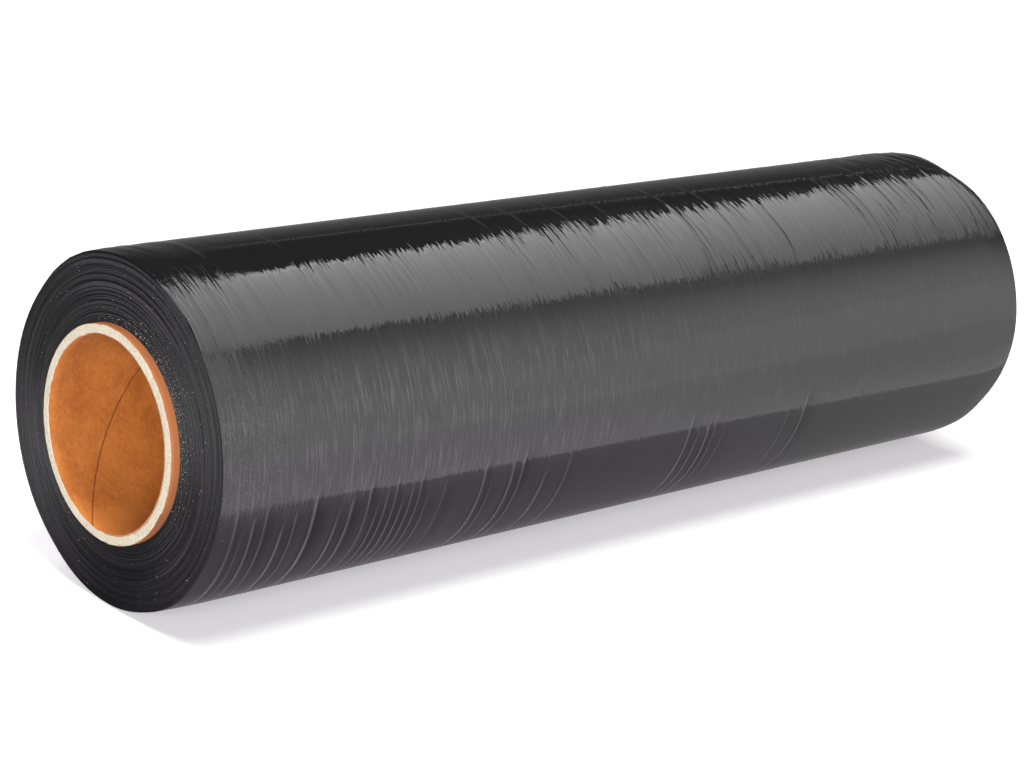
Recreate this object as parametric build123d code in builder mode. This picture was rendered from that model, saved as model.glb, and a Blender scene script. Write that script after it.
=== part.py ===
"""A hand roll of stretch wrap lying on its side: wound film on a spiral-wound paperboard core.

The roll's axis runs along X, +Z is up, and z = 0 is the surface that the roll rests on. The origin
is on that surface, under the middle of the roll. All sizes are in millimetres.
"""

import math
import os

from build123d import *

# Core tube: paperboard plies wound on a 3 inch mandrel and cut square.
CORE_BORE = 76.2
CORE_WALL = 3.75
CORE_OVERHANG = 4.0  # how far each end stands out of the wound film
CORE_EDGE_RADIUS = 0.3  # the saw leaves the cut edges of the board slightly rounded

# Wound film: all of the turns, pressed together into one body.
FILM_WIDTH = 457.2  # an 18 inch web
FILM_DIAMETER = 137.1
SHOULDER_LENGTH = 13.5  # at each end, where the winding falls away towards the edge of the web
SHOULDER_DROP = 1.0
FILM_EDGE_RADIUS = 0.7
REST_WIDTH = 15.0  # the strip that the roll's own weight has pressed flat underneath

# Sizes that follow from those.
core_bore_radius = CORE_BORE / 2
core_radius = core_bore_radius + CORE_WALL
core_length = FILM_WIDTH + 2 * CORE_OVERHANG
film_radius = FILM_DIAMETER / 2
film_end = FILM_WIDTH / 2
shoulder_start = film_end - SHOULDER_LENGTH
shoulder_radius = film_radius - SHOULDER_DROP
axis_height = math.sqrt(film_radius**2 - (REST_WIDTH / 2) ** 2)

roll_axis = Axis((0, 0, axis_height), (1, 0, 0))
profile_plane = Plane(origin=(0, 0, axis_height), x_dir=(1, 0, 0), z_dir=(0, -1, 0))


# Core tube. The half section of its wall is turned once about the roll's axis.
with BuildPart() as core_tube:
    with BuildSketch(profile_plane):
        with Locations((0, core_bore_radius + CORE_WALL / 2)):
            Rectangle(core_length, CORE_WALL)
        fillet(vertices(), radius=CORE_EDGE_RADIUS)
    revolve(axis=roll_axis)
core_tube.part.label = "core_tube"


# Wound film. Its outer line is straight along the middle and bends down over each shoulder in an
# arc that leaves the straight without a corner. The bore is the outside of the core.
with BuildPart() as film_roll:
    with BuildSketch(profile_plane):
        with BuildLine():
            crown = Line((-shoulder_start, film_radius), (shoulder_start, film_radius))
            right_shoulder = TangentArc(crown @ 1, (film_end, shoulder_radius), tangent=crown % 1)
            left_shoulder = TangentArc(crown @ 0, (-film_end, shoulder_radius), tangent=-(crown % 0))
            Polyline(
                right_shoulder @ 1,
                (film_end, core_radius),
                (-film_end, core_radius),
                left_shoulder @ 1,
            )
        make_face()
        outer_corners = vertices().group_by(Axis.Y)[1]  # above the bore's corners, below the crown
        fillet(outer_corners, radius=FILM_EDGE_RADIUS)
    revolve(axis=roll_axis)
    split(bisect_by=Plane.XY, keep=Keep.TOP)
film_roll.part.label = "film_roll"


os.makedirs("parts", exist_ok=True)
export_step(core_tube.part, "parts/core_tube.step")
export_step(film_roll.part, "parts/film_roll.step")
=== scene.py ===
"""A roll of stretch wrap lying on its side: black film wound on a spiral-wound paperboard core."""

import math

import bmesh
import bpy
import numpy as np
from mathutils import Matrix, Vector


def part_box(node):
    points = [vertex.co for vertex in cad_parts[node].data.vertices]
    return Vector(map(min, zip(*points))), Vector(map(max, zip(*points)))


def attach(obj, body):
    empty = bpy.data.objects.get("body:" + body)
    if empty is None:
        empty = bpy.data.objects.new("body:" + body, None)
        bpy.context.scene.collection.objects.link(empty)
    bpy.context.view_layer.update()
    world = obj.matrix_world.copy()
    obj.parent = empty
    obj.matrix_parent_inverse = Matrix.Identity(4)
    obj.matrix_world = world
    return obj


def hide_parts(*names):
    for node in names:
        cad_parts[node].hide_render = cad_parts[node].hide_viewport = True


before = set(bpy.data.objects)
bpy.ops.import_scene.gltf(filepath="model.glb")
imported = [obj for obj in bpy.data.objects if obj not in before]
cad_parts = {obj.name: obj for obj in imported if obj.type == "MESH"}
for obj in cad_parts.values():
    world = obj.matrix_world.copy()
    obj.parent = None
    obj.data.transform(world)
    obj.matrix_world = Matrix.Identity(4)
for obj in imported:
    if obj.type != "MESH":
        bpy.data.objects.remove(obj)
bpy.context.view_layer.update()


# ------------------------------------------------------------------ core tube
# A tube of brown paperboard plies, wound in a spiral, glued and sawn square. It is the roll's
# hub: the film is wound straight onto it, and it stands a few millimetres out of each end.

rng = np.random.default_rng(18)
core_low, core_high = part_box("core_tube")
AXIS_Z = (core_low.z + core_high.z) / 2
CORE_END = core_high.x
CORE_RADIUS = (core_high.y - core_low.y) / 2
CORE_WALL = 0.00375
BORE_RADIUS = CORE_RADIUS - CORE_WALL
MILLI = 0.001
CORE_STEPS = 180
INSIDE_RINGS = 120
CUT_RINGS = 7
RIM_BEVEL = 0.0003
RIM_BAND = 0.002  # from each end, the stretch of the tube's outside that bends where the rim is worn
RIM_FUZZ = 0.00026  # how far the fibres of the sawn rims fray
CUT_PITS = 0.00018  # how deep the saw has torn the cut at most
KRAFT_LIGHT = "#c17635"
KRAFT_MID = "#b36a2c"
KRAFT_DARK = "#a15b22"
KRAFT_SPECK = "#7a4018"
KRAFT_FLECK = "#d8995c"
KRAFT_OUTER = "#985a37"
SEAM_BROWN = "#5f2f0e"
CUT_PALE = "#c6bdab"
CUT_DARK = "#a99c85"
CUT_LINER = "#a2652f"
PLY_WIDTH = 0.1273  # across the strip of paper that is wound into the tube
SEAM_LEAD = 0.15025  # along the axis, for one turn of the seam between two turns of the strip
SEAM_TURN = 1.0702  # how far round, in turns, the seam is at the middle of the tube
SEAM_HALF_WIDTH = 0.0002
OUTER_PLY = 0.0005
OUTER_PLY_END = 117  # degrees from the top, where the outer ply stops short at the near end
OUTER_PLY_BACK = 30  # degrees on, where it is whole again
# Where sawing has pushed the near rim into the bore (or out, below 0): angle from the top and its
# spread (degrees), and depth.
BURRS = [(105, 70, 0.0008), (-125, 50, -0.00036)]
# Grain of the kraft paper: size along the tube and round it (mm), detail and roughness.
KRAFT_GRAIN = [
    (16.67, 22.22, 4, 0.6),  # clouds
    (1.111, 2, 4, 0.7),  # fibres, drawn coarser than real ones so that they show
    (1, 1.25, 1, 0.6),  # flecks
]
PLIES = 7
CUT_FIBRE = 0.001111  # fibres of the cut, drawn coarser than real ones so that they show
CUT_WAVER = 0.004545  # from one waver of the plies' edges to the next
CUT_WANDER = 0.0014  # how far the plies' edges wander


def linear(hex_colour):
    """An sRGB hex colour as a linear RGBA tuple."""
    channels = [int(hex_colour[i : i + 2], 16) / 255 for i in (1, 3, 5)]
    curve = [c / 12.92 if c <= 0.04045 else ((c + 0.055) / 1.055) ** 2.4 for c in channels]
    return (*curve, 1.0)


def add(tree, kind, inputs=(), stops=(), **settings):
    """Adds a shader node with its settings and colour stops, and sets or links its inputs.

    Inputs go by name or number. A node given as an input gives its first output in use.
    """
    node = tree.nodes.new("ShaderNode" + kind)
    for name, value in settings.items():
        setattr(node, name, value)
    for key, value in inputs.items() if isinstance(inputs, dict) else enumerate(inputs):
        if isinstance(value, bpy.types.Node):
            value = next(socket for socket in value.outputs if socket.enabled)
        if isinstance(value, bpy.types.NodeSocket):
            tree.links.new(value, node.inputs[key])
        else:
            node.inputs[key].default_value = value
    for number, (position, colour) in enumerate(stops):
        if number >= len(node.color_ramp.elements):
            node.color_ramp.elements.new(1.0)
        node.color_ramp.elements[number].position = position
        node.color_ramp.elements[number].color = colour
    return node


def new_material(name):
    """An empty node material with its node tree and Object coordinates centred on the roll's axis."""
    material = bpy.data.materials.new(name)
    material.use_nodes = True
    tree = material.node_tree
    tree.nodes.clear()
    place = add(tree, "TexCoord").outputs["Object"]
    return material, tree, add(tree, "VectorMath", [place, (0, 0, AXIS_Z)], operation="SUBTRACT")


def from_axis(tree, place):
    """Distance along the roll's axis and out from it, and angle from the top towards -Y in degrees."""
    apart = add(tree, "SeparateXYZ", [place]).outputs
    radial = add(tree, "VectorMath", [place, (0, 1, 1)], operation="MULTIPLY")
    front = add(tree, "Math", [apart[1], -1.0], operation="MULTIPLY")
    turn = add(tree, "Math", [front, apart[2]], operation="ARCTAN2")
    turn = add(tree, "Math", [turn], operation="DEGREES")
    return apart[0], add(tree, "VectorMath", [radial], operation="LENGTH"), turn


def turned(profile, steps):
    """A closed half section of (along, radius) points, spun once round the roll's axis."""
    shape = bmesh.new()
    ring = [shape.verts.new((along, 0, AXIS_Z + radius)) for along, radius in profile]
    edges = [shape.edges.new(pair) for pair in zip(ring, ring[1:] + ring[:1])]
    bmesh.ops.spin(
        shape,
        geom=ring + edges,
        cent=(0, 0, AXIS_Z),
        axis=(1, 0, 0),
        angle=2 * math.pi,
        steps=steps,
        use_merge=True,
    )
    bmesh.ops.recalc_face_normals(shape, faces=shape.faces)
    return shape


def as_piece(shape, name, materials):
    """Puts a bmesh into the scene as a smooth-shaded piece with its materials."""
    mesh = bpy.data.meshes.new(name)
    shape.to_mesh(mesh)
    shape.free()
    for material in materials:
        mesh.materials.append(material)
    mesh.shade_smooth()
    piece = bpy.data.objects.new(name, mesh)
    bpy.context.scene.collection.objects.link(piece)
    return piece


def read_points(piece):
    """A piece's vertices as an array."""
    points = np.empty(len(piece.data.vertices) * 3)
    piece.data.vertices.foreach_get("co", points)
    return points.reshape(-1, 3)


def write_points(piece, points):
    """Moves a piece's vertices to the places in an array."""
    piece.data.vertices.foreach_set("co", points.ravel())
    piece.data.update()


def polar(points):
    """Distance along the axis, radius, and angle from the top towards -Y, in radians."""
    up = points[:, 2] - AXIS_Z
    return points[:, 0], np.hypot(points[:, 1], up), np.arctan2(-points[:, 1], up)


def from_polar(along, radius, angle):
    """The reverse of polar."""
    return np.column_stack((along, -radius * np.sin(angle), AXIS_Z + radius * np.cos(angle)))


def waves(along, angle, spacing, arc):
    """Smooth random waves from -1 to 1: a new one every spacing along and every arc round."""
    start = along.min()
    columns = int((along.max() - start) / spacing) + 3
    rows = max(3, round(2 * math.pi / arc))
    knots = rng.uniform(-1, 1, (columns, rows))
    u = (along - start) / spacing
    v = (angle / (2 * math.pi) % 1.0) * rows
    i = np.floor(u).astype(int)
    j = np.floor(v).astype(int) % rows
    s = (u - i) ** 2 * (3 - 2 * (u - i))
    t = (v - np.floor(v)) ** 2 * (3 - 2 * (v - np.floor(v)))
    near = knots[i, j] * (1 - t) + knots[i, (j + 1) % rows] * t
    far = knots[i + 1, j] * (1 - t) + knots[i + 1, (j + 1) % rows] * t
    return near * (1 - s) + far * s


SMOOTH = {"interpolation_type": "SMOOTHSTEP"}  # for a range that eases in and out


def kraft_liner():
    """Kraft liner paper: matt, warm brown, with soft clouds, fine fibres, flecks and the seam."""
    material, tree, place = new_material("kraft_liner_paper")
    grains = []
    for lengthwise, around, detail, roughness in KRAFT_GRAIN:
        size = (lengthwise * MILLI, around * MILLI, around * MILLI)
        cells = add(tree, "VectorMath", [place, size], operation="DIVIDE")
        grain = {0: cells, "Scale": 1, "Detail": detail, "Roughness": roughness}
        grains.append(add(tree, "TexNoise", grain))
    clouds, fibres, flecks = grains
    tone = add(tree, "Math", [fibres, 0.4], operation="MULTIPLY")
    tone = add(tree, "Math", [clouds, 0.6, tone], operation="MULTIPLY_ADD")
    stops = [(0.4, linear(KRAFT_DARK)), (0.5, linear(KRAFT_MID)), (0.6, linear(KRAFT_LIGHT))]
    colour = add(tree, "ValToRGB", [tone], stops)
    for first, last, shade in ((0.72, 0.8, KRAFT_FLECK), (0.27, 0.2, KRAFT_SPECK)):
        fleck = add(tree, "MapRange", [flecks, first, last], **SMOOTH)
        colour = add(tree, "Mix", {0: fleck, 6: colour, 7: linear(shade)}, data_type="RGBA")
    along, radius, turn = from_axis(tree, place)
    outer = add(tree, "MapRange", [radius, BORE_RADIUS + 0.001, CORE_RADIUS - 0.001, 0, 0.8], **SMOOTH)
    colour = add(tree, "Mix", {0: outer, 6: colour, 7: linear(KRAFT_OUTER)}, data_type="RGBA")

    # The seam winds round the tube. How far a place is from it counts across the strip of paper.
    turn = add(tree, "Math", [turn, 360], operation="DIVIDE")
    wound = add(tree, "Math", [along, SEAM_LEAD], operation="DIVIDE")
    turn = add(tree, "Math", [turn, wound], operation="SUBTRACT")
    turn = add(tree, "Math", [turn, SEAM_TURN], operation="SUBTRACT")
    from_seam = add(tree, "Math", [turn, 0.5], operation="PINGPONG")
    from_seam = add(tree, "Math", [from_seam, PLY_WIDTH], operation="MULTIPLY")
    fades = (2.2 * SEAM_HALF_WIDTH, 0.5 * SEAM_HALF_WIDTH)
    seam = add(tree, "MapRange", [from_seam, *fades, 0, 0.75], **SMOOTH)
    colour = add(tree, "Mix", {0: seam, 6: colour, 7: linear(SEAM_BROWN)}, data_type="RGBA")

    # The paper's relief: fibres, and the seam a little open.
    height = add(tree, "Math", [fibres, 0.4], operation="MULTIPLY")
    height = add(tree, "Math", [height, seam], operation="SUBTRACT")
    bump = add(tree, "Bump", {"Height": height, "Strength": 0.5, "Distance": 0.0003})
    surface = {"Base Color": colour, "Roughness": 0.85, "IOR": 1.45, "Normal": bump}
    add(tree, "OutputMaterial", [add(tree, "BsdfPrincipled", surface)])
    return material


def sawn_board():
    """Sawn chipboard plies: pale, open and fibrous, with brown liner paper at both borders."""
    material, tree, place = new_material("sawn_core_board")
    fuzz = add(tree, "TexNoise", {0: place, "Scale": 1 / CUT_FIBRE, "Detail": 4, "Roughness": 0.75})
    waver = add(tree, "TexNoise", {0: place, "Scale": 1 / CUT_WAVER, "Detail": 4, "Roughness": 0.6})
    colour = add(tree, "ValToRGB", [fuzz], [(0.3, linear(CUT_DARK)), (0.55, linear(CUT_PALE))])
    radius = from_axis(tree, place)[1]
    radius = add(tree, "Math", [waver, CUT_WANDER, radius], operation="MULTIPLY_ADD")
    depth = add(tree, "MapRange", [radius, BORE_RADIUS + CUT_WANDER / 2, CORE_RADIUS + CUT_WANDER / 2])
    inner = add(tree, "MapRange", [depth, 0.1, 0.02], **SMOOTH)
    outer = add(tree, "MapRange", [depth, 0.92, 1.0], **SMOOTH)
    liner = add(tree, "Math", [inner, outer], operation="MAXIMUM")
    liner = add(tree, "Math", [liner, 0.75], operation="MULTIPLY")
    colour = add(tree, "Mix", {0: liner, 6: colour, 7: linear(CUT_LINER)}, data_type="RGBA")
    plies = add(tree, "Math", [depth, 2 * math.pi * PLIES], operation="MULTIPLY")
    plies = add(tree, "Math", [plies], operation="SINE")
    height = add(tree, "Math", [plies, 0.15, fuzz], operation="MULTIPLY_ADD")
    bump = add(tree, "Bump", {"Height": height, "Strength": 0.8, "Distance": 0.0005})
    surface = {"Base Color": colour, "Roughness": 0.95, "IOR": 1.4, "Normal": bump}
    add(tree, "OutputMaterial", [add(tree, "BsdfPrincipled", surface)])
    return material


film_low, film_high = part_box("film_roll")
FILM_END = film_high.x
cut_radii = np.linspace(BORE_RADIUS + RIM_BEVEL, CORE_RADIUS - RIM_BEVEL, CUT_RINGS)
inside = np.linspace(RIM_BEVEL - CORE_END, CORE_END - RIM_BEVEL, INSIDE_RINGS)
outside = [CORE_END - RIM_BEVEL, CORE_END - RIM_BAND, FILM_END]
outside += [-x for x in reversed(outside)]
core_profile = [(x, BORE_RADIUS) for x in inside]
core_profile += [(CORE_END, radius) for radius in cut_radii]
core_profile += [(x, CORE_RADIUS) for x in outside]
core_profile += [(-CORE_END, radius) for radius in cut_radii[::-1]]
core_shape = turned(core_profile, CORE_STEPS)
for face in core_shape.faces:
    face.material_index = int(abs(face.calc_center_median().x) > CORE_END - RIM_BEVEL)
core = as_piece(core_shape, "core_tube_board", [kraft_liner(), sawn_board()])
points = read_points(core)
along, radius, angle = polar(points)
cut = np.abs(along) > CORE_END - RIM_BEVEL / 2
rim = np.abs(along) > CORE_END - 1.5 * RIM_BEVEL
fray = RIM_FUZZ * (0.5 * waves(along, angle, 0.5, 0.25) + 0.5 * waves(along, angle, 0.5, 0.07))
fray_outside = -0.5 * fray * (1 + fray / RIM_FUZZ)  # nearly all inwards: the tube grows no wider
into_wall = np.clip((radius - BORE_RADIUS) / CORE_WALL, 0, 1)
turned_by = np.degrees(angle)
past_ply_end = (turned_by - OUTER_PLY_END) / OUTER_PLY_BACK
worn = OUTER_PLY * np.clip(1 - past_ply_end, 0, 1) * (past_ply_end > 0) * (along < 0)
radius = radius + np.where(rim, np.where(into_wall > 0.5, fray_outside, fray), 0)
radius = radius - np.where(into_wall > 0.95, worn, 0)
burr = sum(depth * np.exp(-(((turned_by - middle) / spread) ** 2)) for middle, spread, depth in BURRS)
radius = radius - np.where(rim, burr * (1 - into_wall) * (along < 0), 0)
sunk = 0.5 * CUT_PITS * (1 + waves(radius * 4, angle, 0.0024, 0.05))
along = along - np.where(cut, np.sign(along) * sunk, 0)
write_points(core, from_polar(along, radius, angle))
core.visible_glossy = False  # the turns' edges beside it are too dull to mirror it
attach(core, "root")
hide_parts("core_tube")


# ------------------------------------------------------------------ wound film
# About 1,300 turns of black polyethylene stretch film, wound tight under tension. It is soft and
# glossy: the last turns carry fine streaks and small creases round the roll, and each edge of
# the web falls away into a shoulder. The ends show the edges of the turns as close rings.

FILM_RADIUS = (film_high.y - film_low.y) / 2
SHOULDER_LENGTH = 0.0135  # of the stretch at each end where the film falls away
SHOULDER_DROP = 0.0006
FILM_EDGE_RADIUS = 0.0004
FILM_STEPS = 96
SIDE_SPACING = 0.00058  # between two rings of points along the film's side
FACE_RINGS = 46
RING_DEPTHS = (0.00020, 0.00014)  # how far the broad and the narrow rings of the ends sink at most
FILM_BLACK = "#060607"
FILM_HAZE = "#3b3b3d"
# Grey of the painted highlights along the wrinkles.
HIGHLIGHT_GREY = "#808083"
SLACK = 0.0003  # how far the outer turns stand off at the back of the top

# Creases that run round the roll: place along it (mm), first and last angle from the top (degrees),
# height (mm) and half width (mm).
TOP_CREASES = [
    (-200.0, -18, 6, 0.10, 0.8),
    (-164.5, -8, 6, 0.07, 0.6),
    (-65.0, -4, 12, 0.07, 0.6),
    (-45.5, -6, 24, 0.14, 0.5),
    (-22.5, -8, 37, 0.13, 0.45),
    (0.3, -8, 39, 0.15, 0.45),
    (37.0, -20, 41, 0.34, 0.42),
    (59.0, -6, 40, 0.17, 0.42),
    (86.6, 28, 41, 0.32, 0.4),
    (142.0, 24, 35, 0.20, 0.4),
    (147.6, 26, 37, 0.24, 0.4),
    (158.0, 30, 38, 0.22, 0.38),
    (161.5, 32, 38, 0.22, 0.38),
    (165.5, -4, 33, 0.32, 0.45),
    (175.0, 19, 31, 0.22, 0.4),
    (186.0, 16, 33, 0.24, 0.4),
    (191.0, 18, 33, 0.20, 0.38),
    (194.5, -17, 9, 0.12, 0.7),
    (208.0, 14, 30, 0.18, 0.4),
]
# Wrinkles under the front of the roll, where the last turns sag: place (mm), strength, and half
# width (mm).
LOW_WRINKLES = [
    (-221.0, 0.10, 0.5),
    (-217.5, 0.08, 0.5),
    (-213.0, 0.14, 0.6),
    (-207.5, 0.09, 0.7),
    (-199.0, 0.16, 0.8),
    (-193.5, 0.10, 0.6),
    (-185.0, 0.16, 0.8),
    (-173.0, 0.14, 0.7),
    (-167.0, 0.14, 0.9),
    (-159.0, 0.12, 0.6),
    (-154.0, 0.12, 0.6),
    (-150.3, 0.13, 0.6),
    (-146.0, 0.12, 0.6),
    (-142.0, 0.13, 0.6),
    (-138.0, 0.12, 0.6),
    (-134.0, 0.11, 0.6),
    (-129.5, 0.10, 0.6),
    (-121.0, 0.05, 0.6),
    (-101.0, 0.17, 0.7),
    (-96.5, 0.08, 0.7),
    (-86.0, 0.16, 0.7),
    (-81.0, 0.10, 0.8),
    (-67.0, 0.07, 0.8),
    (-55.0, 0.07, 0.8),
    (13.5, 0.08, 0.7),
    (19.0, 0.08, 0.7),
    (25.0, 0.13, 0.7),
    (29.0, 0.08, 0.7),
    (35.0, 0.06, 0.7),
    (75.0, 0.04, 0.7),
    (85.5, 0.08, 0.7),
]
LOW_RISE = 0.0024  # height of a wrinkle of strength 1
LOW_LEAN = 0.005  # how far the wrinkles lean along the roll from their top to the underside
# Places where handling has pressed an end's corner in (or out, below 0): end, where along the roll
# it starts (mm), angle from the top and its spread (degrees), and depth (mm).
DENTS = [
    (1, 222.0, 15, 14, 1.7),
    (1, 214.0, 124, 10, 0.6),
    (1, 214.0, 92, 14, -0.5),
    (-1, 205.0, -18, 16, -0.2),
    (-1, 214.0, -52, 14, 0.6),
    (-1, 214.0, -146, 12, 0.6),
    (-1, 205.0, 140, 12, -0.3),
    (-1, 212.0, 160, 9, 0.4),
]
# Relief too fine for the mesh, as grain of the film's face: size along the roll and round it (mm),
# detail and roughness. Real streaks and haze are finer, and are drawn as coarse as they need to show.
FACE_GRAIN = [
    (2.5, 71.43, 2, 0.6),  # wide streaks
    (1, 45.45, 2, 0.5),  # fine streaks
    (22.22, 62.5, 2, 0.6),  # patches with more or less relief
    (5.263, 83.33, 1, 0.6),  # folds
    (2.326, 50, 1, 0.6),  # pleats
    (0.7692, 1, 2, 0.6),  # speckle
    (0.9091, 16.67, 4, 0.75),  # haze
]
# How far the streaks, folds, pleats and speckle stand up.
WIDE_STREAK, FINE_STREAK, FOLD, PLEAT, SPECKLE = 0.00009, 0.00007, 0.00015, 0.00006, 0.00006
# Grain of the turns' edges: size out from the axis and round it (mm), detail and roughness. The
# real edges are a fiftieth of a millimetre thick, too fine to show, so they are drawn in bundles.
EDGE_GRAIN = [
    (3.03, 3.03, 3, 0.75),  # broad bands
    (0.6667, 1.111, 2, 0.6),  # fine rings
    (4.762, 16.67, 1, 0.6),  # proud rings
    (1.923, 16.67, 1, 0.6),  # thin rings
]
EDGE_SPECKLE = 0.0007692  # size of the roughness left by slitting
EDGE_WAVER = 0.08333  # from one waver of a ring to the next
EDGE_WANDER = 0.0012  # how far a ring wanders in and out
EDGE_DRIFT = 0.004  # how far its grain slides round
EDGE_RELIEF = 0.0004  # how far the fine rings stand up


def between(angle, first, last, ease):
    """1 between two angles in degrees, easing to 0 over some degrees past each."""
    turn = np.degrees(angle)
    up = np.clip((turn - first + ease) / ease, 0, 1)
    down = np.clip((last + ease - turn) / ease, 0, 1)
    return up * up * (3 - 2 * up) * down * down * (3 - 2 * down)


def film_relief(along, angle):
    """How far the film's last turns stand up or sink, in metres.

    They are gathered into fine creases most above the front, and less towards both ends. At the
    back of the top they are slack and mottled, and under the front they sag into wrinkles.
    """
    gathered = 0.5 + 0.5 * between(angle, 16, 42, 7)
    gathered -= 0.42 * between(angle, -60, 9, 6) + 0.38 * between(angle, 56, 165, 6)
    gathered *= 1 - 0.5 * between(angle, 34, 60, 8) * np.clip((along - 0.1) / 0.03, 0, 1)
    gathered *= 1 - 0.3 * np.clip((along - 0.15) / 0.03, 0, 1)
    gathered *= 1 - 0.35 * np.clip((-0.095 - along) / 0.02, 0, 1) * np.clip((along + 0.2) / 0.01, 0, 1)
    patches = (0.5 + 0.5 * waves(along, angle, 0.022, 0.5)) ** 2
    relief = 0.00010 * waves(along, angle, 0.013, 0.7)
    relief += 0.00007 * waves(along, angle, 0.0045, 0.6)
    relief += 0.00011 * patches * waves(along, angle, 0.0021, 0.35)
    relief += 0.00003 * waves(along, angle, 0.0013, 0.5)
    relief *= gathered
    mottled = between(angle, -40, 4, 10) * np.clip((np.abs(along + 0.01) - 0.17) / 0.03, 0, 1)
    mottled *= 1 + 0.8 * (along > 0)
    relief += 0.00016 * mottled * waves(along, angle, 0.0035, 0.09)
    relief += SLACK * between(angle, -90, -24, 24)
    at_top = 0.3 + 0.7 * between(angle, 14, 60, 6)
    for place, first, last, height, half_width in TOP_CREASES:
        across = (along / MILLI - place) / half_width
        relief += MILLI * height * np.exp(-(across**2)) * between(angle, first, last, 5) * at_top
    low = between(angle, 110, 127, 9) + 0.04 * between(angle, 60, 103, 6)
    for place, strength, half_width in LOW_WRINKLES:
        across = (along / MILLI - place) / half_width
        relief += LOW_RISE * strength * np.exp(-(across**2)) * low
    sagging = low * np.clip((-0.06 - along) / 0.1, 0, 1)
    relief += 0.00022 * sagging * waves(along, angle, 0.0052, 0.6)
    return relief


def painted_wrinkle_light(along, angle):
    """Painted highlight along the wrinkles' crests (above 0), and painted shade in the folds between
    them (below).
    """
    # Each low wrinkle gets a painted highlight along its crest, and painted shade on the film between it
    # and the next one. They begin at three heights in turn.
    low = np.zeros_like(along)
    following = [wrinkle[0] for wrinkle in LOW_WRINKLES[1:]] + [100]
    for number, ((place, strength, half_width), after) in enumerate(zip(LOW_WRINKLES, following)):
        across = along / MILLI - place - 0.25
        shown = between(angle, 102 + 5 * (number * 2 % 3), 165, 7)
        low += shown * min(1, 6 * strength) * np.exp(-((across / (0.8 * half_width)) ** 2))
        fades_over = min(5, 0.5 * (after - place))
        shaded = np.clip((across - 0.4) / 0.8, 0, 1) * np.exp(-np.maximum(across - 1.2, 0) / fades_over)
        low -= shown * min(0.9, 6 * strength) * shaded
    low *= 0.7 + 0.3 * waves(along, angle, 0.01, 0.3)
    # The painted highlights are weaker above 130 degrees from the top, and full below it.
    low *= np.where(low > 0, 0.45 + 0.55 * np.clip((np.degrees(angle) - 112) / 18, 0, 1), 1)
    # The creases above the front are also lightened a little along the top.
    top = np.zeros_like(along)
    for place, first, last, _, half_width in TOP_CREASES:
        across = (along / MILLI - place) / half_width
        top += np.exp(-(across**2)) * between(angle, max(first, -12), min(last, 14), 6)
    return np.clip(low + 0.09 * top, -1, 1)


def pressed_in(along, angle):
    """How far the corners of the ends are pressed in, in metres."""
    depth = np.zeros_like(along)
    for end, start, middle, spread, most in DENTS:
        reach = np.clip((end * along / MILLI - start) / (FILM_END / MILLI - start), 0, 1)
        off = (np.degrees(angle) - middle + 180) % 360 - 180
        depth += MILLI * most * reach**1.5 * np.exp(-((off / spread) ** 2))
    return depth


def ridged(tree, noise, power):
    """Ridges from 0 to 1 where a noise is at its middle, narrower for a higher power."""
    off = add(tree, "Math", [noise, 2.0, -1.0], operation="MULTIPLY_ADD")
    off = add(tree, "Math", [off], operation="ABSOLUTE")
    close = add(tree, "Math", [1.0, off], operation="SUBTRACT")
    return add(tree, "Math", [close, power], operation="POWER")


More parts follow.
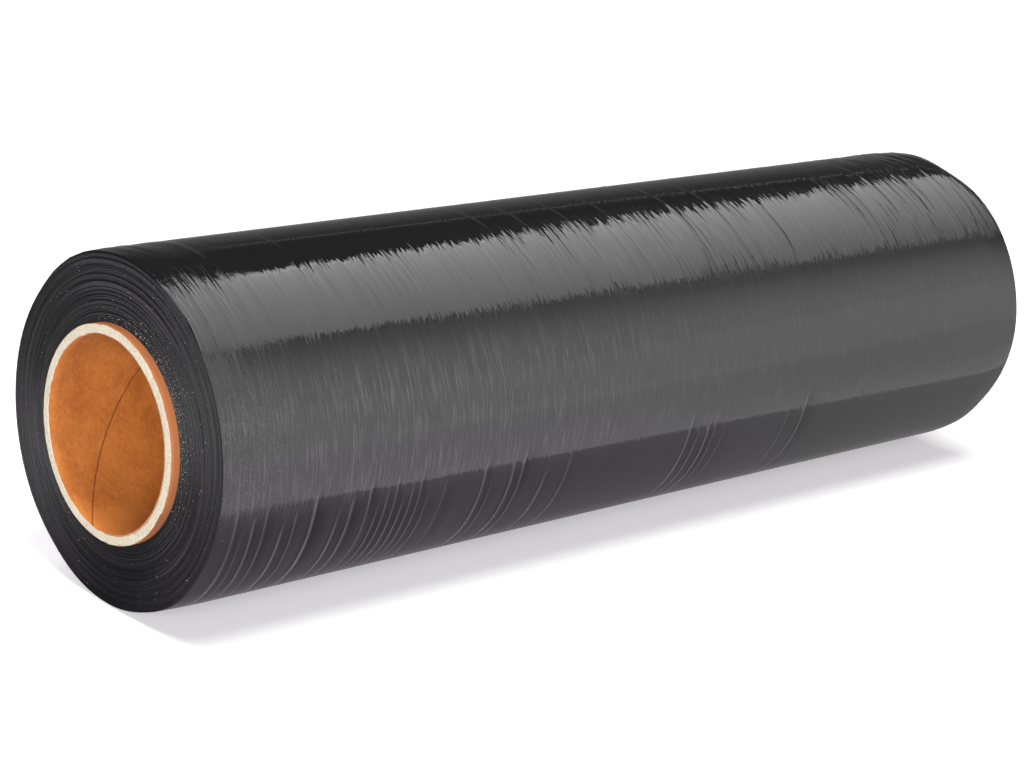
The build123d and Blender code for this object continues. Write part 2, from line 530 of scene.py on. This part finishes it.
def film_side():
    """Stretch film under tension: clear gloss, fine streaks round the roll, a hazed and grained end."""
    material, tree, place = new_material("polyethylene_film_gloss")
    along, _, turn = from_axis(tree, place)
    grains = []
    for lengthwise, around, detail, roughness in FACE_GRAIN:
        size = (lengthwise * MILLI, around * MILLI, around * MILLI)
        cells = add(tree, "VectorMath", [place, size], operation="DIVIDE")
        grain = {0: cells, "Scale": 1, "Detail": detail, "Roughness": roughness}
        grains.append(add(tree, "TexNoise", grain))
    wide, fine, patches, folds, pleats, speckle, haze = grains
    near_end = add(tree, "MapRange", [along, -0.165, -0.217], **SMOOTH)

    # Relief: strongest where the turns are gathered, above the front.
    rightward = add(tree, "MapRange", [along, -0.12, -0.04, 0.35, 1.3], **SMOOTH)
    height = add(tree, "Math", [wide, WIDE_STREAK], operation="MULTIPLY")
    height = add(tree, "Math", [height, rightward], operation="MULTIPLY")
    height = add(tree, "Math", [fine, FINE_STREAK, height], operation="MULTIPLY_ADD")
    for ridges, most in ((ridged(tree, folds, 11), FOLD), (ridged(tree, pleats, 7), PLEAT)):
        height = add(tree, "Math", [ridges, most, height], operation="MULTIPLY_ADD")
    patches = add(tree, "MapRange", [patches, 0.4, 0.66, 0.3, 1], **SMOOTH)
    smoother = add(tree, "MapRange", [along, -0.115, -0.095, 0.5, 1.15], **SMOOTH)
    rucked = add(tree, "MapRange", [along, -0.192, -0.212], **SMOOTH)
    ruck_height = add(tree, "MapRange", [turn, 21, 29, 7.6, 1.6], **SMOOTH)
    rucked = add(tree, "Math", [rucked, ruck_height, 1.0], operation="MULTIPLY_ADD")
    far_end = add(tree, "MapRange", [along, 0.13, 0.16, 1, 0.65], **SMOOTH)
    gathered = add(tree, "MapRange", [turn, 53, 48], **SMOOTH)
    starts = add(tree, "MapRange", [turn, 11, 17], **SMOOTH)
    gathered = add(tree, "Math", [gathered, starts], operation="MULTIPLY")
    below = add(tree, "MapRange", [turn, 74, 82, 0.13, 0.24], **SMOOTH)
    calm = add(tree, "Math", [gathered, 0.85, below], operation="MULTIPLY_ADD")
    for share in (patches, smoother, rucked, far_end, calm):
        height = add(tree, "Math", [height, share], operation="MULTIPLY")
    grained = add(tree, "Math", [near_end, SPECKLE], operation="MULTIPLY")
    height = add(tree, "Math", [speckle, grained, height], operation="MULTIPLY_ADD")
    bump = add(tree, "Bump", {"Height": height, "Strength": 1, "Distance": 1})

    # Haze: on the front towards the near end, and in the gathered turns towards the far end.
    leftward = add(tree, "MapRange", [along, 0.06, -0.13, 0.35, 1], **SMOOTH)
    front = add(tree, "MapRange", [turn, 46, 70], **SMOOTH)
    above = add(tree, "MapRange", [turn, 106, 98], **SMOOTH)
    for share in (leftward, above):
        front = add(tree, "Math", [front, share], operation="MULTIPLY")
    brushed = add(tree, "MapRange", [along, -0.11, 0.03, 0.08, 0.55], **SMOOTH)
    brushed = add(tree, "Math", [brushed, gathered], operation="MULTIPLY")
    hazed = add(tree, "Math", [front, brushed], operation="MAXIMUM")
    haze = add(tree, "MapRange", [haze, 0.46, 0.7], **SMOOTH)
    dusting = add(tree, "MapRange", [speckle, 0.5, 0.72, 0, 0.8], **SMOOTH)
    dusting = add(tree, "Math", [dusting, near_end], operation="MULTIPLY")
    haze = add(tree, "Math", [haze, dusting], operation="MAXIMUM")
    haze = add(tree, "Math", [haze, hazed], operation="MULTIPLY")
    colour = add(tree, "Mix", {0: haze, 6: linear(FILM_BLACK), 7: linear(FILM_HAZE)}, data_type="RGBA")

    # Painted light on the wrinkles: lighter lines for painted highlights, and painted shade that dulls
    # the gloss in the folds.
    painted_marks = add(tree, "Attribute", attribute_name="painted_wrinkle_light").outputs["Fac"]
    colour = add(tree, "Mix", {0: painted_marks, 6: colour, 7: linear(HIGHLIGHT_GREY)}, data_type="RGBA")
    gloss = add(tree, "MapRange", [painted_marks, -1, 0, 0.08, 0.5])
    dulled = add(tree, "Math", [near_end, hazed], operation="MULTIPLY")
    roughness = add(tree, "Math", [dulled, 0.035, 0.042], operation="MULTIPLY_ADD")
    surface = {"Base Color": colour, "Roughness": roughness, "IOR": 1.5, "Normal": bump}
    surface["Specular IOR Level"] = gloss
    add(tree, "OutputMaterial", [add(tree, "BsdfPrincipled", surface)])
    return material


def film_edges():
    """The cut edges of the turns: close rings, with a duller gloss than the film's face."""
    material, tree, place = new_material("polyethylene_film_edges")
    wander = add(tree, "TexNoise", {0: place, "Scale": 1 / EDGE_WAVER, "Detail": 1, "Roughness": 0.6})
    speckle = add(tree, "TexNoise", {0: place, "Scale": 1 / EDGE_SPECKLE, "Detail": 2, "Roughness": 0.6})
    radius = from_axis(tree, place)[1]
    across = add(tree, "Math", [wander, EDGE_WANDER, radius], operation="MULTIPLY_ADD")
    drift = add(tree, "Math", [wander, EDGE_DRIFT], operation="MULTIPLY")
    ringed = add(tree, "CombineXYZ", [across, drift])
    grains = []
    for outward, around, detail, roughness in EDGE_GRAIN:
        size = (outward * MILLI, around * MILLI, around * MILLI)
        cells = add(tree, "VectorMath", [ringed, size], operation="DIVIDE")
        grain = {0: cells, "Scale": 1, "Detail": detail, "Roughness": roughness}
        grains.append(add(tree, "TexNoise", grain))
    broad, fine, proud, thin = grains
    height = add(tree, "Math", [broad, 2.4, fine], operation="MULTIPLY_ADD")
    for grain, share in ((ridged(tree, proud, 10), 1.6), (ridged(tree, thin, 6), 1.0), (speckle, 0.45)):
        height = add(tree, "Math", [grain, share, height], operation="MULTIPLY_ADD")
    bump = add(tree, "Bump", {"Height": height, "Strength": 1, "Distance": EDGE_RELIEF})
    surface = {"Base Color": linear(FILM_BLACK), "Roughness": 0.22, "IOR": 1.5, "Normal": bump}
    add(tree, "OutputMaterial", [add(tree, "BsdfPrincipled", surface)])
    return material


shoulder_radius = FILM_RADIUS - SHOULDER_DROP
face_radii = np.linspace(CORE_RADIUS, shoulder_radius - FILM_EDGE_RADIUS, FACE_RINGS)
edge_turn = np.radians(np.linspace(18, 72, 4))
right_half = [(FILM_END, radius) for radius in face_radii]
right_half += [
    (
        FILM_END - FILM_EDGE_RADIUS * (1 - math.cos(turn)),
        shoulder_radius - FILM_EDGE_RADIUS * (1 - math.sin(turn)),
    )
    for turn in edge_turn
]
side_end = FILM_END - FILM_EDGE_RADIUS
side_places = np.linspace(side_end, -side_end, round(2 * side_end / SIDE_SPACING))
crease_places = [MILLI * (crease[0] + step) for crease in TOP_CREASES for step in (-0.34, 0, 0.34)]
crease_places += [MILLI * (wrinkle[0] + step) for wrinkle in LOW_WRINKLES for step in (-0.1, 0.35)]
clear = [x for x in side_places if min(abs(x - place) for place in crease_places) > 0.45 * SIDE_SPACING]
side_places = sorted(clear + crease_places, reverse=True)
left_half = [(-x, radius) for x, radius in reversed(right_half)]
film_shape = turned(right_half + [(x, FILM_RADIUS) for x in side_places] + left_half, FILM_STEPS)
for face in film_shape.faces:
    face.material_index = int(abs(face.calc_center_median().x) > FILM_END - FILM_EDGE_RADIUS / 2)
film = as_piece(film_shape, "film_wound", [film_side(), film_edges()])
points = read_points(film)
along, radius, angle = polar(points)
on_side = radius > FILM_RADIUS - 1e-5
on_face = np.abs(along) > FILM_END - 1e-6
into_shoulder = np.clip((np.abs(along) - FILM_END + SHOULDER_LENGTH) / SHOULDER_LENGTH, 0, 1)
drop = SHOULDER_DROP * (0.5 * into_shoulder + 0.5 * into_shoulder**2)
lift = film_relief(along, angle)
press = pressed_in(along, angle)
highlight_and_shade = painted_wrinkle_light(along, angle)
rings = 0.5 * RING_DEPTHS[0] * (1 + waves(radius * 10, angle, 0.012, 1.1))
rings += 0.5 * RING_DEPTHS[1] * (1 + waves(radius * 10, angle, 0.006, 0.6))
rings *= np.clip((radius - CORE_RADIUS) / 0.003, 0, 1)  # so the face still meets the core
rings *= np.clip((face_radii[-1] - radius) / 0.0015, 0, 1)  # and the shoulder
along = np.where(on_face, along - np.sign(along) * rings, along)
turned_by = np.degrees(angle) % 360
lean = LOW_LEAN * np.clip((turned_by - 98) / 45, 0, 1.2) ** 2 * np.clip((225 - turned_by) / 65, 0, 1)
along = np.where(on_side, along + lean * (1 - into_shoulder), along)
reach = np.where(on_face, np.clip((radius - face_radii[-1] + 0.009) / 0.009, 0, 1), 1)
radius = np.where(on_side, radius - drop + lift, radius) - press * reach
points = from_polar(along, radius, angle)
points[:, 2] = np.maximum(points[:, 2], film_low.z)
write_points(film, points)
# The wrinkles' painted highlights and painted shade go on the film's side as a point attribute.
painted_marks = film.data.attributes.new("painted_wrinkle_light", "FLOAT", "POINT")
painted_marks.data.foreach_set("value", np.where(on_side, highlight_and_shade, 0))
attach(film, "root")
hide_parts("film_roll")


# ------------------------------------------------------------------ paper dust
# Specks of paper from sawing the core, held on the soft film by static: thick round the core at
# the near end, and scattered over the end face and the shoulder.

DUST_PALE = "#c9c4bb"
DUST_GREY = "#77736c"
CORE_DUST, FACE_DUST, SHOULDER_DUST = 700, 130, 80
CORE_DUST_REACH = 0.0032  # how far from the core the specks thin out
CORE_DUST_END = 0.014  # and stop
SHOULDER_DUST_REACH = 0.009
DUST_LIFT = 0.00005  # how high a speck lies on the shoulder
DUST_CLOUDS = 0.001111  # between paler and greyer specks


def paper_dust():
    """Loose paper fibre: pale, quite matt."""
    material, tree, place = new_material("paper_dust")
    tone = add(tree, "TexNoise", {0: place, "Scale": 1 / DUST_CLOUDS, "Detail": 1, "Roughness": 0.6})
    colour = add(tree, "ValToRGB", [tone], [(0.4, linear(DUST_GREY)), (0.6, linear(DUST_PALE))])
    surface = {"Base Color": colour, "Roughness": 0.95}
    add(tree, "OutputMaterial", [add(tree, "BsdfPrincipled", surface)])
    return material


def add_speck(shape, along, radius, angle, size):
    """One flattened speck, a few tenths of a millimetre across."""
    spot = from_polar(*(np.array([value]) for value in (along, radius, angle)))[0]
    turn = Matrix.Rotation(rng.uniform(0, 6.28), 4, Vector(rng.normal(size=3)))
    flat = Matrix.Diagonal((size, size * rng.uniform(0.4, 1), size * rng.uniform(0.3, 0.6), 1))
    place = Matrix.Translation(spot) @ turn @ flat
    bmesh.ops.create_icosphere(shape, subdivisions=1, radius=1, matrix=place)


dust_shape = bmesh.new()
for _ in range(CORE_DUST):
    gap = min(rng.exponential(CORE_DUST_REACH), CORE_DUST_END)
    turn = math.radians(rng.triangular(-25, 62, 125))
    add_speck(dust_shape, -FILM_END, CORE_RADIUS + 0.0004 + gap, turn, rng.uniform(0.00005, 0.00017))
for _ in range(FACE_DUST):
    turn = rng.uniform(-math.pi, math.pi)
    add_speck(dust_shape, -FILM_END, rng.uniform(0.044, 0.066), turn, rng.uniform(0.00006, 0.00018))
for _ in range(SHOULDER_DUST):
    inward = rng.exponential(SHOULDER_DUST_REACH)
    turn = math.radians(rng.uniform(10, 125))
    size = rng.uniform(0.00008, 0.0002)
    add_speck(dust_shape, -side_end + inward, shoulder_radius + DUST_LIFT, turn, size)
dust = as_piece(dust_shape, "paper_dust_specks", [paper_dust()])
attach(dust, "root")


# ------------------------------------------------------------------ studio
# A white floor with a key light in front, a weak one behind and a soft fill at the near end. What
# the film mirrors is glowing cards, unseen by the camera: a box overhead and a strip past it, a wall
# in front, a wall, a corner and a patch of floor at the near end, and the floor, sunlit and in shade.

roll_centre = Vector((0, 0, AXIS_Z))
WHITE = (1, 1, 1, 1)
SHADE_TINT = (1.02, 0.935, 1.04, 1)
FLOOR_TINT = (1.015, 0.965, 1.03, 1)
BOX_Z = 1.1  # of the overhead box and what is level with it
FLOOR_CARD_Z = 0.0003


def follow(tree, value, stops):
    """A glow or a colour that changes with a value, between stops of value and glow or colour."""
    low, high = stops[0][0], stops[-1][0]
    share = add(tree, "MapRange", [value, low, high])
    ramp = []
    for place, glow in stops:
        colour = glow if isinstance(glow, tuple) else (glow, glow, glow, 1)
        ramp.append(((place - low) / (high - low), colour))
    return add(tree, "ValToRGB", [share], ramp)


def level(outline, z):
    """The corners of a card that lies level."""
    return [(x, y, z) for x, y in outline]


def glow_card(name, corners, glow, tint=((-1, WHITE), (1, WHITE))):
    """A card that only gloss sees, with its glow from the place and its tint along X."""
    shape = bmesh.new()
    shape.faces.new([shape.verts.new(corner) for corner in corners])
    material = bpy.data.materials.new(name)
    material.use_nodes = True
    tree = material.node_tree
    tree.nodes.clear()
    place = add(tree, "TexCoord").outputs["Object"]
    apart = add(tree, "SeparateXYZ", [place]).outputs
    emission = add(tree, "Emission", [follow(tree, apart[0], tint), glow(tree, *apart)])
    add(tree, "OutputMaterial", [emission])
    card = as_piece(shape, name, [material])
    card.visible_camera = False
    card.visible_shadow = False
    card.visible_diffuse = False


def overhead_glow(tree, x, y, z):
    """Brightest along its far edge and at the near end."""
    along = follow(tree, x, [(-0.5, 2.9), (0.7, 2.82), (1.0, 2.55), (1.4, 2.05), (1.7, 1.6), (2.0, 1.3)])
    edge = add(tree, "Math", [x, -0.19, y], operation="MULTIPLY_ADD")
    across = follow(tree, edge, [(-0.8, 0.8), (-0.3, 0.97), (0.15, 1.06), (0.29, 1.1), (0.36, 1.36)])
    return add(tree, "Math", [along, across], operation="MULTIPLY")


def even_glow(tree, x, y, z):
    """The same all over."""
    return follow(tree, x, [(-1, 2.1), (1, 2.1)])


def front_glow(tree, x, y, z):
    """Bright to head height, then fading up, and fading towards the far end."""
    stops = [(0, 2.22), (0.3, 2.3), (0.72, 2.33), (0.78, 2.2), (1.2, 2.12), (1.6, 1.92), (2.1, 1.62)]
    up = follow(tree, z, stops + [(2.6, 1.36), (3.3, 1.2), (4.2, 1.05)])
    stops = [(-3, 1.1), (1.3, 1.0), (2.4, 0.824), (3.3, 0.68), (4.7, 0.456), (6, 0.36), (9, 0.28)]
    return add(tree, "Math", [up, follow(tree, x, stops)], operation="MULTIPLY")


def side_glow(tree, x, y, z):
    """Even, with a soft far side."""
    return follow(tree, y, [(-2.0, 2.6), (0.2, 2.6), (0.9, 0.3)])


def shade_glow(tree, x, y, z):
    """The floor in the roll's shade: darkest under the roll."""
    stops = [(-0.13, 1.0), (-0.106, 0.8), (-0.08, 0.58), (-0.062, 0.45), (-0.038, 0.245), (0.0, 0.12)]
    across = follow(tree, y, stops + [(0.08, 0.4), (0.16, 0.6), (0.3, 0.62)])
    along = follow(tree, x, [(-0.2, 1.16), (-0.1, 1.12), (0.06, 1.05), (0.25, 1.17)])
    return add(tree, "Math", [across, along], operation="MULTIPLY")


def sunlit_glow(tree, x, y, z):
    """The lit floor in front: bright far out, and fading towards the far end."""
    stops = [(-0.3, 2.15), (-0.09, 1.84), (0.1, 1.53), (0.29, 1.25), (0.45, 1.25), (0.7, 1.25)]
    close = follow(tree, x, stops)
    sideways = add(tree, "Math", [x, y], operation="DIVIDE")
    stops = [(-4, 1.0), (-2.5, 1.3), (-1.5, 1.64), (-1.28, 1.76), (-0.95, 2.0), (-0.6, 2.24)]
    afar = follow(tree, sideways, stops + [(-0.1, 2.36)])
    out = add(tree, "MapRange", [y, -0.11, -0.5])
    out = add(tree, "Math", [out, 0.72], operation="POWER")
    return add(tree, "Mix", {0: out, 6: close, 7: afar}, data_type="RGBA")


def strip_glow(tree, x, y, z):
    """A faint line of light past the overhead box."""
    return follow(tree, x, [(1, 0.24), (1.7, 0.27), (2.1, 0.36), (3, 0.36)])


box = [(-0.5, -0.458), (-0.5, 0.3), (0.672, 0.51), (1.12, 0.56), (1.6, 0.625)]
box += [(2.0, 0.69), (2.0, -0.75), (1.55, -0.69), (1.11, -0.625), (0.68, -0.55)]
glow_card("overhead_box", level(box, BOX_Z), overhead_glow)
corner = [(-0.6, -0.46), (0.52, -0.535), (0.6, -0.77), (0.68, -0.95), (0.785, -1.17)]
corner += [(0.93, -1.45), (-0.6, -1.45)]
glow_card("near_corner", level(corner, BOX_Z), even_glow)
patch = [(-0.9, -0.2), (-0.44, -0.2), (-0.44, 0.13), (-0.9, 0.13)]
glow_card("floor_by_the_end", level(patch, 2 * FLOOR_CARD_Z), even_glow)
glow_card("front_wall", [(-3, -2, 0), (-3, -2, 4.2), (9, -2, 4.2), (9, -2, 0)], front_glow)
glow_card("near_end_wall", [(-2.2, -2, 0), (-2.2, 0.9, 0), (-2.2, 0.9, 1.4), (-2.2, -2, 1.4)], side_glow)
# The edge of the roll's shade, from the near side to the far side.
shade_edge = [(-3, -0.31), (-0.25, -0.148), (-0.15, -0.131), (-0.07, -0.118), (0.064, -0.109)]
shade_edge += [(0.255, -0.097), (0.7, -0.07), (9, 0.1)]
glow_card(
    "floor_in_shade",
    level(shade_edge + [(9, 0.3), (-3, 0.3)], FLOOR_CARD_Z),
    shade_glow,
    tint=((-0.35, (1, 0.98, 1.01, 1)), (-0.2, SHADE_TINT), (0.03, SHADE_TINT), (0.17, WHITE)),
)
glow_card(
    "floor_sunlit",
    level(shade_edge[::-1] + [(-3, -2), (9, -2)], FLOOR_CARD_Z),
    sunlit_glow,
    tint=((-0.2, FLOOR_TINT), (0.03, FLOOR_TINT), (0.17, WHITE)),
)
strip = [(1.25, 2.2), (1.4, 1.88), (1.77, 1.58), (1.95, 1.17), (2.28, 0.3)]
strip += [(2.38, 0.3), (2.05, 1.21), (1.87, 1.68), (1.49, 2.01), (1.31, 2.32)]
glow_card("ceiling_strip", level(strip, BOX_Z), strip_glow)

floor_shape = bmesh.new()
bmesh.ops.create_grid(floor_shape, x_segments=1, y_segments=1, size=20)
floor_material, tree, _ = new_material("white_studio_floor")
white_paper = add(tree, "BsdfDiffuse", [linear("#e7e7e7")])
apart = add(tree, "SeparateXYZ", [add(tree, "TexCoord").outputs["Object"]]).outputs
# Painted light: the whole floor glows with a faint purple tint, which lightens the roll's shadow, and
# glows more in a band just behind the roll to lift the shadow there.
floor_glow_strength = follow(tree, apart[1], [(0, 0.4), (0.055, 0.58), (0.15, 0.58), (0.28, 0.4)])
painted_floor_glow = add(tree, "Emission", [(1.0, 0.97, 1.0, 1), floor_glow_strength])
add(tree, "OutputMaterial", [add(tree, "AddShader", [white_paper, painted_floor_glow])])
floor = as_piece(floor_shape, "studio_floor", [floor_material])
floor.visible_glossy = False


def lamp(name, kind, energy, turns, place=(0, 0, 3), **settings):
    """A light that the film doesn't mirror."""
    data = bpy.data.lights.new(name, kind)
    data.energy = energy
    for key, value in settings.items():
        setattr(data, key, value)
    light = bpy.data.objects.new(name, data)
    light.location = place
    light.rotation_euler = [math.radians(turn) for turn in turns]
    light.visible_glossy = False
    bpy.context.scene.collection.objects.link(light)


lamp("key_light", "SUN", 2.1, (15, -7, 0), angle=math.radians(22))
lamp("back_light", "SUN", 0.4, (-28, -8, 0), angle=math.radians(12))
lamp("soft_fill", "AREA", 56, (80, 0, -52), place=(-1.8, -1.4, 0.55), size=1.2)

world = bpy.data.worlds.new("studio")
world.use_nodes = True
tree = world.node_tree
tree.nodes.clear()
rise = add(tree, "SeparateXYZ", [add(tree, "TexCoord").outputs["Generated"]]).outputs[2]
stops = [(-0.3, 0.38), (-0.22, 0.36), (-0.12, 0.24), (0, 0.18), (0.17, 0.15), (0.3, 0.11), (0.45, 0.09)]
dusk = follow(tree, rise, stops + [(0.6, 0.14), (1, 0.2)])
kinds = add(tree, "LightPath").outputs
room = add(tree, "Mix", {0: kinds["Is Glossy Ray"], 6: (0.17, 0.17, 0.17, 1), 7: dusk}, data_type="RGBA")
room = add(tree, "Mix", {0: kinds["Is Camera Ray"], 6: room, 7: WHITE}, data_type="RGBA")
add(tree, "OutputWorld", [add(tree, "Background", [room])])
bpy.context.scene.world = world

camera_data = bpy.data.cameras.new("camera")
camera_data.sensor_width = 36
camera_data.lens = 93.36
camera = bpy.data.objects.new("camera", camera_data)
camera_place = roll_centre + Vector((-0.7688, -0.7726, 0.32485))
yaw, pitch, tilt = (math.radians(turn) for turn in (43.83, 17.345, 5.451))
ahead = Vector((math.sin(yaw) * math.cos(pitch), math.cos(yaw) * math.cos(pitch), -math.sin(pitch)))
level = Vector((math.cos(yaw), -math.sin(yaw), 0))
upright = level.cross(ahead)
across = math.cos(tilt) * level + math.sin(tilt) * upright
upward = math.cos(tilt) * upright - math.sin(tilt) * level
turn = Matrix((across, upward, -ahead)).transposed().to_4x4()
camera.matrix_world = Matrix.Translation(camera_place) @ turn
bpy.context.scene.collection.objects.link(camera)
bpy.context.scene.camera = camera
bpy.context.scene.view_settings.view_transform = "Standard"
